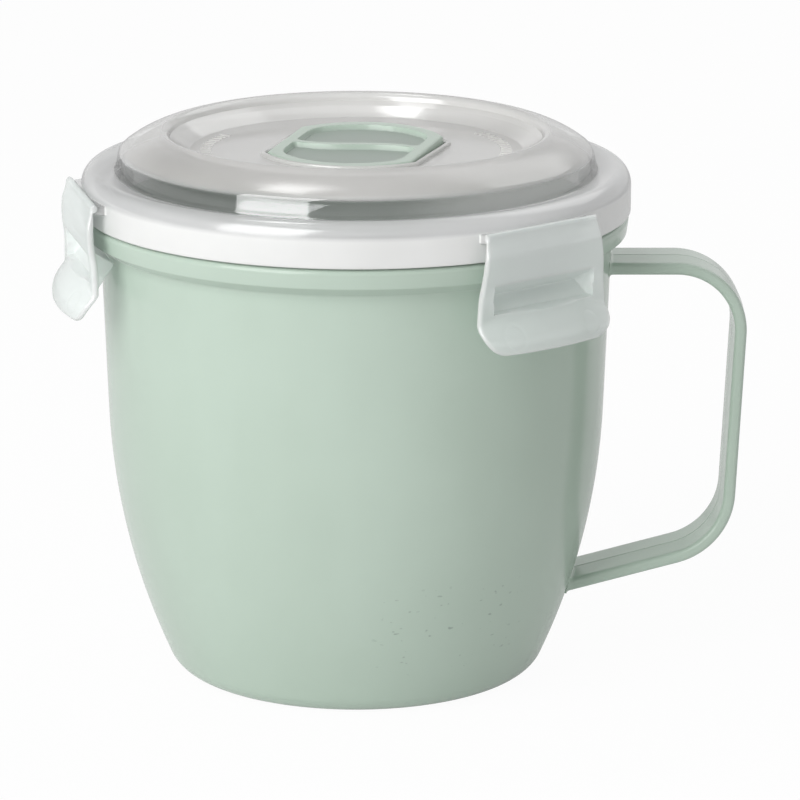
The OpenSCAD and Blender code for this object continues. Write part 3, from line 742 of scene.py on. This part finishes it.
def lidLine(s):
    wall, plugIn = s["wall"], s["plugR"] - s["plugT"]
    top = rounded([(0, s["panelZ"]), (s["panelR"], s["panelZ"], s["panelRound"]),
                   (s["stepR"], s["stepZ"], s["stepRound"]),
                   (s["crestR"] - s["crest"] * s["crestStart"], s["crestZ"])])
    top += arc((s["crestR"], s["crestZ"]), (s["crest"],) * 2, s["crestFrom"], s["crestTo"], 12)[1:]
    # the dome's side leans in a little, then bends over the shoulder to the crest
    valley = (s["shoulderX"] + s["shoulderW"], s["domeZ"])
    lean, bend = math.radians(s["sideLean"]), math.radians(s["shoulderLean"])
    sideTop = (valley[0] - s["sideH"] * math.tan(lean), s["domeZ"] + s["sideH"])
    turn = (sideTop[0] - s["bendR"] * math.cos(lean), sideTop[1] - s["bendR"] * math.sin(lean))
    bendTop = Vector((turn[0] + s["bendR"] * math.cos(bend), turn[1] + s["bendR"] * math.sin(bend)))
    span = bendTop - Vector(top[-1])
    middle = math.atan2(span.x, -span.y)
    sweep = middle - bend
    reach = span.length / (2 * math.sin(sweep))
    hub = bendTop - reach * Vector((math.cos(bend), math.sin(bend)))
    top += arc(hub, (reach,) * 2, math.degrees(middle + sweep), s["shoulderLean"], 24)[1:]
    top += arc(turn, (s["bendR"],) * 2, s["shoulderLean"], s["sideLean"], 12)[1:]
    top += run(sideTop, valley, 6)
    flangeX, flangeLow = s["skirtR"] - s["flangeW"], s["flangeZ"] - s["flangeH"]
    top += rounded([top[-1], (*valley, s["valleyRound"]),
                    (flangeX - s["valleyRun"], s["flangeZ"] - s["valleyDrop"])])[1:]
    top += arc((flangeX, flangeLow), (s["flangeW"], s["flangeH"]), s["flangeFrom"], 0, 16)
    low = rounded([(s["skirtR"], flangeLow), (s["skirtR"], s["skirtLow"], s["chamfer"]),
                   (s["channelR"], s["skirtLow"], s["chamfer"]),
                   (s["channelR"], s["roofZ"], s["channelRound"]),
                   (s["plugR"], s["roofZ"], s["channelRound"]),
                   (s["plugR"], s["plugLow"], s["plugRound"]), (plugIn, s["plugLow"], s["plugRound"]),
                   (plugIn, s["roofZ"] + wall / 2)])[1:]
    crestA = math.degrees(math.acos((s["crestR"] + s["crest"] / 2 - s["shoulderX"]) / s["shoulderW"]))
    under = arc((s["shoulderX"], s["domeZ"]), (s["shoulderW"] - wall, s["shoulderH"] - wall), 0, crestA, 26)
    under += rounded([under[-1], (s["stepR"] + wall, s["stepZ"] - wall / 2, s["underRound"]),
                      (s["panelR"] + wall / 2, s["panelZ"] - wall, s["underRound"]),
                      (0, s["panelZ"] - wall)])[1:]
    return top + low + under


def lugMesh(g, c, turn, count=20):
    # straight lug that carries a clip's hinge line, let into the skirt
    half, edge = c["hingeW"] / 2 + g["end"], g["round"]
    across = [half * (2 * k / count - 1) for k in range(count + 1)]
    loops = []
    for inset, height in ((edge, g["low"]), (0, g["low"] + edge), (0, g["top"] - edge), (edge, g["top"])):
        narrow = 1 - (inset + g["slant"]) / half
        inner = [turned(turn, u, math.sqrt(g["in"] ** 2 - u * u), height) for u in across]
        outer = [turned(turn, u * narrow, c["hingeD"] - g["back"] - inset, height) for u in reversed(across)]
        loops.append(inner + outer)
    return lofted("lug", loops)


def makeLid(s, v, c, g):
    lid = shown("lidSkin", revolved("lidSkin", lidLine(s), s["segments"]))

    def prism(steps):
        # block in the flap's outline, through steps of (grown, height)
        loops = [[turned(v["turn"], y, x, z) for x, y in ventLoop(v, grown)] for grown, z in steps]
        return lofted("prism", loops)

    def drum(radius, low, high):
        section = ring(radius, 40, (v["sealAt"], 0))
        return lofted("drum", [[turned(v["turn"], y, x, z) for x, y in section] for z in (low, high)])

    gap, tub, rootZ = v["gap"], v["gap"] + s["wall"], s["panelZ"] - s["wall"] / 2
    combined(lid, prism([(tub - s["tubRound"], s["tubZ"]), (tub, s["tubZ"] + s["tubRound"]), (tub, rootZ)]),
             "UNION")
    lip, lipZ, edge = gap + s["coaming"], s["panelZ"] + s["coamingH"], s["coamingRound"]
    bevel = edge * s["coamingBevel"]
    combined(lid, prism([(lip, rootZ), (lip, lipZ - edge), (lip - bevel, lipZ - bevel), (lip - edge, lipZ)]),
             "UNION")
    combined(lid, prism([(gap - s["pocketRound"], s["pocketZ"]), (gap, s["pocketZ"] + s["pocketRound"]),
                         (gap, lipZ - s["mouthRound"]), (gap + s["mouthRound"], lipZ + s["mouthRise"]),
                         (gap + s["mouthOut"], lipZ + s["mouthTop"])]), "DIFFERENCE")
    combined(lid, drum(s["seatR"], s["pocketZ"] - s["seatRoot"], s["seatZ"]), "UNION")
    past = s["steamPast"]
    combined(lid, drum(s["steamR"], s["tubZ"] - past, s["seatZ"] + past), "DIFFERENCE")
    pinHalf = v["width"] / 2 + gap + v["pinReach"]
    combined(lid, rod("pinHole", v["turn"], 0, v["pinZ"], pinHalf, s["pinHole"]), "DIFFERENCE")
    grooveHalf = c["hingeW"] / 2 + g["end"] + g["groovePast"]
    for turn in c["turns"].values():
        combined(lid, lugMesh(g, c, turn), "UNION")
        combined(lid, rod("groove", turn, c["hingeD"], c["hingeZ"], grooveHalf, g["groove"]), "DIFFERENCE")
    return dressed(lid, lidFrost, "lid", "frosted", "lid_shell")


# clips: one shape at three places round the lid, on the lid's lugs
clipSizes = {"turns": {"clip_front": -50.5, "clip_back": 71.4, "clip_left": 193.3}, "hingeD": 66.0,
             "hingeZ": 118.5, "hingeR": 0.9, "hingeW": 33.4, "lowW": 38.6, "lowZ": 91.7, "lipZ": 93.3,
             "waistZ": 103.5, "waistD": 67.1, "faceD": 67.9, "faceDrop": 7, "neckDrop": 5, "neckGap": 0.2,
             "thick": 1.6, "flare": 5.2, "corner": 6, "edge": 0.75,
             "edgeSteps": (0, 0.02, 0.07, 0.15, 0.26, 0.4, 0.56, 0.75), "rows": 76, "columns": 92,
             "hingeRows": 12, "neckStep": 0.15,
             "beadLowR": 64.2, "hookTopZ": 106.82, "slope": 34, "tipR": 61.08, "tipZ": 104.72, "tipH": 0.5,
             "rootD": 65.5, "hookLowZ": 98.9, "hookW": 32, "taper": 3, "hookT": 1.3, "steep": 7,
             "soft": 0.45, "wedgeSoft": 0.5, "endSoft": 0.6, "innerSoft": 0.25, "glow": 0.5,
             "hollowGlow": 0.7, "markU": 11.6, "markZ": 95.6, "markR": 2.65, "markDip": 0.14,
             "markWidth": 0.22}

lidSkin = makeLid(lidSizes, ventSizes, clipSizes, lugSizes)
print("lid made:", len(lidSkin.data.polygons), "faces")


def clipHalf(c, z):
    # half the clip's width at a height
    low = c["lowZ"] + c["corner"]
    if z < low:
        return c["lowW"] / 2 - c["corner"] + math.sqrt(max(0, c["corner"] ** 2 - (low - z) ** 2))
    t = max(0, min(1, (c["hingeZ"] - z) / (c["hingeZ"] - c["lipZ"])))
    return c["hingeW"] / 2 + (c["lowW"] - c["hingeW"]) / 2 * math.sin(math.pi / 2 * t)


def clipFace(c, z):
    # distance of the outer face from the axis, above the flared lip
    drop = c["hingeZ"] - c["faceDrop"]
    if z > drop:
        out = c["faceD"] - c["hingeD"]
        return c["hingeD"] + c["hingeR"] + (out - c["hingeR"]) * ease((c["hingeZ"] - z) / c["neckDrop"])
    return c["faceD"] - (c["faceD"] - c["waistD"]) * ease((drop - z) / (drop - c["waistZ"]))


def clipPlate(c, u, z, depth):
    # distance of the plate's outer face, or of its inner face, from the axis
    bead = math.sqrt(max(0, c["hingeR"] ** 2 - (z - c["hingeZ"]) ** 2))
    if depth == 0 and z >= c["hingeZ"]:
        return c["hingeD"] + bead
    face = clipFace(c, z) - depth
    if depth and z > c["hingeZ"] - c["hingeR"]:
        return c["hingeD"] - bead
    if depth and z > c["hingeZ"] - c["neckDrop"]:
        face = max(face, c["hingeD"] + c["neckGap"])
    if z < c["waistZ"]:
        lip = c["waistD"] + c["flare"] * ease((c["waistZ"] - z) / (c["waistZ"] - c["lipZ"])) - depth
        face = softMax(face, math.sqrt(max(0, lip * lip - u * u)), c["soft"])
    return face


def clipWedge(c, u, z, inset):
    # distance of the hook's faces from the axis, or of the hollow's at an inset behind them
    rise = math.tan(math.radians(c["slope"]))
    fall = (c["tipZ"] - c["tipH"] - c["hookLowZ"]) / (c["rootD"] - c["tipR"])
    drop, lift = inset / math.cos(math.atan(rise)), inset / math.cos(math.atan(fall))
    upper = c["beadLowR"] + (z + drop - c["hookTopZ"]) / rise
    lower = c["tipR"] + (c["tipZ"] - c["tipH"] + lift - z) / fall
    if lower > c["rootD"]:
        lower = c["rootD"] + (c["hookLowZ"] + lift - z) * c["steep"]
    half = c["hookW"] / 2 - inset
    end = c["rootD"] - (half - abs(u)) * (c["rootD"] - c["tipR"] + 1) / c["taper"]
    if abs(u) > half:
        end = c["rootD"] + (abs(u) - half) * c["steep"]
    wedge = softMax(softMax(upper, lower, c["wedgeSoft"]), end, c["endSoft"])
    return wedge if inset else max(wedge, c["tipR"])


def clipPoint(c, u, z):
    # outer and inner distance from the axis, and how much the place glows as an edge
    low = c["lowZ"] + c["corner"]
    flat = c["lowW"] / 2 - c["corner"]
    edge = min(clipHalf(c, z) - abs(u), z - c["lowZ"])
    if abs(u) > flat and z < low:
        edge = c["corner"] - math.hypot(abs(u) - flat, low - z)
    edge = max(0, edge)
    plateOut, plateIn = clipPlate(c, u, z, 0), clipPlate(c, u, z, c["thick"])
    hollow = clipWedge(c, u, z, c["hookT"])
    outer = softMin(plateOut, hollow, c["soft"])
    inner = softMin(plateIn, clipWedge(c, u, z, 0), c["innerSoft"])
    for side in (-1, 1):
        mark = math.hypot(u - side * c["markU"], z - c["markZ"]) - c["markR"]
        outer -= c["markDip"] * math.exp(-(mark / c["markWidth"]) ** 2)
    if edge < c["edge"]:
        middle = (plateOut + plateIn) / 2
        bulge = math.sqrt(max(0, 1 - (1 - edge / c["edge"]) ** 2))
        outer, inner = middle + (outer - middle) * bulge, middle + (inner - middle) * bulge
    rim = math.exp(-(edge / c["glow"]) ** 2)
    mouth = math.exp(-((plateOut - hollow) / c["glow"]) ** 2)
    return outer, inner, min(1, rim + c["hollowGlow"] * mouth)


def makeClip(c, node):
    edges = c["edgeSteps"]
    angles = [math.radians(90 - 180 * k / c["hingeRows"]) for k in range(c["hingeRows"] + 1)]
    heights = [c["hingeZ"] + c["hingeR"] * math.sin(a) for a in angles]
    start, end = heights[-1] - c["neckStep"], c["lowZ"] + c["edge"]
    heights += [start + (end - start) * k / c["rows"] for k in range(c["rows"] + 1)]
    heights += [c["lowZ"] + e for e in reversed(edges[:-1])]
    points, glow, layers = [], [], ([], [])
    for z in heights:
        rows = ([], [])
        for u in spread(clipHalf(c, z), edges, c["columns"]):
            outer, inner, light = clipPoint(c, u, z)
            for row, reach in zip(rows, (outer, inner)):
                row.append(len(points))
                points.append(turned(c["turns"][node], u, reach, z))
                glow.append(light)
        for layer, row in zip(layers, rows):
            layer.append(row)
    faces = []
    for layer, order in zip(layers, (1, -1)):
        for a, b in zip(layer, layer[1:]):
            faces += [[a[k], b[k], b[k + 1], a[k + 1]][::order] for k in range(len(a) - 1)]
    mesh = plainMesh(node, points, [], faces)
    mesh.attributes.new("edgeGlow", "FLOAT", "POINT").data.foreach_set("value", glow)
    clip = shown(node.replace("_", "") + "Skin", mesh)
    return dressed(clip, clipFrost, node, "frosted", node)


clips = [makeClip(clipSizes, node) for node in clipSizes["turns"]]
print("clips made:", [len(clip.data.polygons) for clip in clips])


# seals: a ring on the mug's rim and a plug under the vent
sealSizes = {"in": 58.7, "out": 62.3, "low": 116.2, "high": 118.6, "lowRound": 0.5, "highRound": 0.2,
             "segments": 160}
plugSizes = {"radius": 4.5, "low": 121.0, "high": 122.7, "lowRound": 0.4, "highRound": 0.1, "stemR": 1.5,
             "stemHigh": 124.1, "stemRound": 0.3, "segments": 48}


def makeSeals(s, p, v):
    middle = (s["in"] + s["out"]) / 2
    line = rounded([(middle, s["low"]), (s["out"], s["low"], s["lowRound"]),
                    (s["out"], s["high"], s["highRound"]), (s["in"], s["high"], s["highRound"]),
                    (s["in"], s["low"], s["lowRound"]), (middle, s["low"])])
    seal = shown("lidSealRing", revolved("lidSealRing", line[:-1], s["segments"], True))
    dressed(seal, silicone, "lid", "silicone", "lid_seal")
    line = rounded([(0, p["low"]), (p["radius"], p["low"], p["lowRound"]),
                    (p["radius"], p["high"], p["highRound"]), (p["stemR"], p["high"]),
                    (p["stemR"], p["stemHigh"], p["stemRound"]), (0, p["stemHigh"])])
    mesh = revolved("ventSealPlug", line, p["segments"])
    pinZ = v["pinZ"] * mm
    turn = Matrix.Rotation(math.radians(v["turn"]), 4, "Z")
    tilt = Matrix.Rotation(-math.radians(v["open"]), 4, "Y")
    fromPins = Matrix.Translation((v["sealAt"] * mm, 0, -pinZ))
    mesh.transform(turn @ Matrix.Translation((0, 0, pinZ)) @ tilt @ fromPins)
    dressed(shown("ventSealPlug", mesh), silicone, "vent", "silicone", "vent_seal")


makeSeals(sealSizes, plugSizes, ventSizes)
print("seals made")


# plain raised ticks round the panel
tickSizes = {"radius": 35.6, "length": 2.6, "width": 0.55, "height": 0.32, "raised": 0.3, "step": 3.4,
             "from": 152, "count": 19}


def makeTickTree(material):
    tree, w, given = newTree("tickTree", {k: "NodeSocketFloat" for k in ("Length", "Width", "Height")})
    size = w.make("ShaderNodeCombineXYZ", None,
                  {"X": given["Length"], "Y": given["Width"], "Z": given["Height"]})
    bar = w.make("GeometryNodeMeshCube", None, {"Size": size}, "Mesh")
    x, y, _ = w.make("GeometryNodeInputPosition").parts()
    spin = w.make("ShaderNodeCombineXYZ", None, {"Z": w.maths("ARCTAN2", y, x)})
    bars = w.make("GeometryNodeInstanceOnPoints", None,
                  {"Points": given["Geometry"], "Instance": bar, "Rotation": spin})
    endTree(w, bars, material)
    return tree


def makeTicks(t, s):
    height = s["panelZ"] + t["height"] * t["raised"]
    places = [turned(start + t["step"] * k, 0, t["radius"], height)
              for start in (t["from"], t["from"] - 180) for k in range(t["count"])]
    mesh = grow("ticks", makeTickTree(lidFrost), plainMesh("tickPlaces", places, [], []), {
        "Length": t["length"] * mm, "Width": t["width"] * mm, "Height": t["height"] * mm})
    return dressed(shown("panelTicks", mesh), lidFrost, "lid", "frosted")


makeTicks(tickSizes, lidSizes)
print("ticks made")


# studio: white floor and surround, soft lamps; sizes in metres
studioSizes = {"floor": 6, "floorZ": -0.0001, "floorPale": (0.9, 0.9, 0.9, 1),
               "floorDim": (0.86, 0.86, 0.86, 1), "floorScale": 3, "floorWhite": 0.96, "floorGloss": 0.3,
               "horizon": 0.51, "zenith": 0.33, "ceiling": 0.12, "rightWall": 0.55, "backShade": 0.08}
# where the surround changes, along the parts of a ray's direction
skyZones = {"softUp": (0.0, 0.9), "rightX": (-0.45, 0.1), "highUp": (0.25, 0.6), "behindY": (-0.1, 0.6),
            "overheadUp": (0.86, 0.92), "frontY": (-0.1, 0.1)}
lampRows = [
    # name, place, aim, width, height, watts
    ("keyBox", (-0.842, -1.003, 0.78), (0, 0, 0.07), 0.95, 1.25, 16.3),
    ("topBox", (-0.33, 0.3, 1.5), (0, 0, 0.1), 0.35, 0.3, 1.6),
    ("backBox", (0.72, 0.79, 1.07), (0, 0, 0.1), 1.0, 0.8, 2.6),
]
white = (1, 1, 1, 1)


def rayKind(w, kind):
    return w.make("ShaderNodeLightPath", None, None, kind)


def backdropRays(w):
    rays = [rayKind(w, kind) for kind in ("Is Camera Ray", "Is Glossy Ray", "Is Transmission Ray")]
    return w.maths("MAXIMUM", w.maths("MAXIMUM", rays[0], rays[1]), rays[2])


def makeFloor(s):
    half, z = s["floor"] / 2, s["floorZ"]
    mesh = bpy.data.meshes.new("floor")
    corners = [(-half, -half, z), (half, -half, z), (half, half, z), (-half, half, z)]
    mesh.from_pydata(corners, [], [[0, 1, 2, 3]])
    material, w, place = newMaterial("floorWhite")
    tone = blended(w, noise(w, place, s["floorScale"]), s["floorDim"], s["floorPale"])
    matt = w.make("ShaderNodeBsdfDiffuse", None, {"Color": tone})
    glow = w.make("ShaderNodeEmission", None, {"Color": white, "Strength": 1.0})
    # gloss sees the floor's own light and shade more
    dull = rayKind(w, "Is Glossy Ray") * (s["floorWhite"] - s["floorGloss"])
    share = backdropRays(w) * s["floorWhite"] - dull
    finished(w, w.make("ShaderNodeMixShader", None, {0: share, 1: matt, 2: glow}))
    mesh.materials.append(material)
    shown("floor", mesh)


def makeSurround(s, zones):
    world = bpy.data.worlds.new("surround")
    scene.world = world
    world.use_nodes = True
    world.node_tree.nodes.clear()
    w = Wire(world.node_tree)
    seen = backdropRays(w)
    # pale all round and dimmer overhead
    across, along, up = w.make("ShaderNodeTexCoord", None, None, "Generated").parts()
    soft = ramped(w, up, *zones["softUp"], s["horizon"], s["zenith"])
    ceiling = s["ceiling"] + ramped(w, across, *zones["rightX"], 0, s["rightWall"])
    high = ramped(w, up, *zones["highUp"])
    overhead = ramped(w, up, *zones["overheadUp"]) * ramped(w, along, *zones["frontY"], 1, 0) * (1 - ceiling)
    # what gloss sees far behind the mug is greyer
    behind = rayKind(w, "Is Glossy Ray") * ramped(w, along, *zones["behindY"]) * s["backShade"]
    sky = (1 - high * (1 - ceiling) + overhead) * (1 - behind)
    light = w.make("ShaderNodeBackground", None, {"Color": white, "Strength": soft * (1 - seen) + sky * seen})
    w.make("ShaderNodeOutputWorld", None, {"Surface": light})


def makeLamp(name, at, aim, width, height, watts):
    data = bpy.data.lights.new(name, "AREA")
    data.shape = "RECTANGLE"
    data.size, data.size_y, data.energy = width, height, watts
    lamp = bpy.data.objects.new(name, data)
    lamp.location = at
    lamp.rotation_euler = (Vector(aim) - Vector(at)).to_track_quat("-Z", "Y").to_euler()
    scene.collection.objects.link(lamp)


makeFloor(studioSizes)
makeSurround(studioSizes, skyZones)
for row in lampRows:
    makeLamp(*row)
print("studio made")
